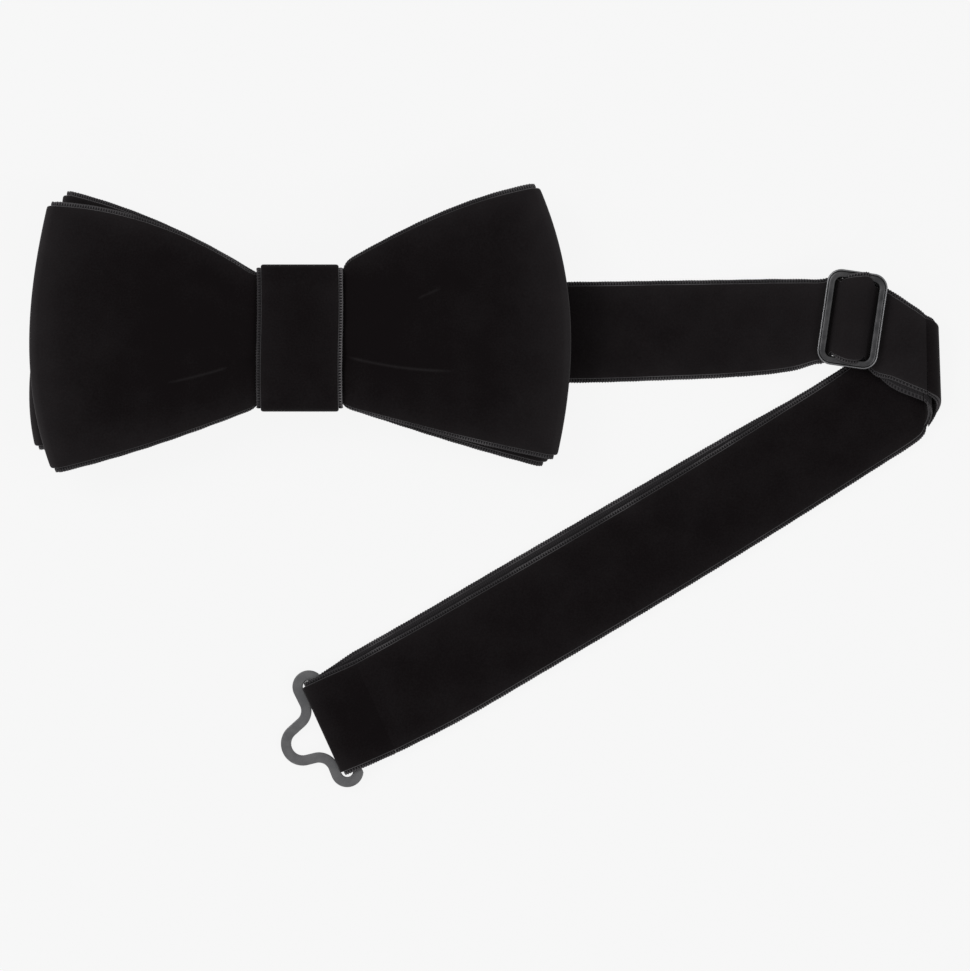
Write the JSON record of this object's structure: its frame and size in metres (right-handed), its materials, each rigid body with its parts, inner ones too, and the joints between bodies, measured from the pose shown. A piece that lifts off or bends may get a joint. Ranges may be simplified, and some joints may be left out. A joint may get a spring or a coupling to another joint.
{
  "type": "bow tie",
  "caption": "Ready-tied velvet bow tie: double ribbon bow with a knot band, adjustable neck ribbon with slider, hook and eye.",
  "frame": {"origin": "middle of the knot, on the flat back that rests on the table", "axes": "+X along the bow towards the slider side, +Y towards the wings' upper edges, +Z out of the bow's face"},
  "size_m": [0.2019, 0.1334, 0.0129],
  "materials": {
    "velvet": "black velvet pile with woven selvedges",
    "canvas": "plain woven interlining",
    "thread": "matt sewing thread",
    "black_metal": "satin black coating",
    "grey_metal": "matt dark grey coating"
  },
  "bodies": {
    "bow": {"front_bow": "velvet", "front_interlining": "canvas", "back_bow": "velvet", "back_interlining": "canvas", "waist_thread": "thread", "knot_band": "velvet", "knot_stitches": "thread", "strap_root": "velvet", "tab_root": "velvet", "root_stitches": "thread"},
    "strap": {"strap_run": "velvet", "strap_bridge": "velvet", "strap_return": "velvet", "fold_outer": "velvet", "fold_inner": "velvet"},
    "slider": {"slider": "black_metal", "slider_loop": "velvet", "slider_stitches": "thread"},
    "tail": {"tail_lower": "velvet", "tail_upper": "velvet"},
    "tail_end": {"eye_loop": "velvet"},
    "eye": {"eye": "grey_metal"},
    "tab": {"tab_run": "velvet", "hook_loop": "velvet", "hook_stitches": "thread"},
    "hook": {"hook": "grey_metal"}
  },
  "joints": [
    {"name": "strap_swing", "type": "hinge", "parent": "bow", "child": "strap", "pos_m": [0.0106, 0.0011, 0.0018], "axis": [0, 1, 0], "range_deg": [0, 85]},
    {"name": "slider_slide", "type": "slide", "parent": "strap", "child": "slider", "axis": [1, 0, 0], "range_m": [-0.046, 0], "deforming": ["strap_run", "strap_bridge", "strap_return", "tail_lower", "tail_upper"]},
    {"name": "fold_open", "type": "hinge", "parent": "strap", "child": "tail", "pos_m": [0.139, -0.0064, 0.003], "axis": [0.0349, -0.9994, 0], "range_deg": [0, 178], "deforming": ["fold_outer", "fold_inner"]},
    {"name": "take_up", "type": "slide", "parent": "tail", "child": "tail_end", "axis": [-0.8607, -0.509, 0], "range_m": [-0.023, 0], "deforming": ["tail_lower", "tail_upper"]},
    {"name": "eye_pivot", "type": "hinge", "parent": "tail_end", "child": "eye", "pos_m": [0.00851, -0.08577, 0.00175], "axis": [-0.4147, 0.91, 0], "range_deg": [-95, 95]},
    {"name": "tab_swing", "type": "hinge", "parent": "bow", "child": "tab", "pos_m": [-0.0106, 0.0011, 0.0018], "axis": [0, -1, 0], "range_deg": [0, 85]},
    {"name": "hook_pivot", "type": "hinge", "parent": "tab", "child": "hook", "pos_m": [-0.0426, 0.0011, 0.00175], "axis": [0, -1, 0], "range_deg": [0, 95]}
  ],
  "couplings": [
    {"joint": "take_up", "follows": "slider_slide", "ratio": 0.5}
  ]
}
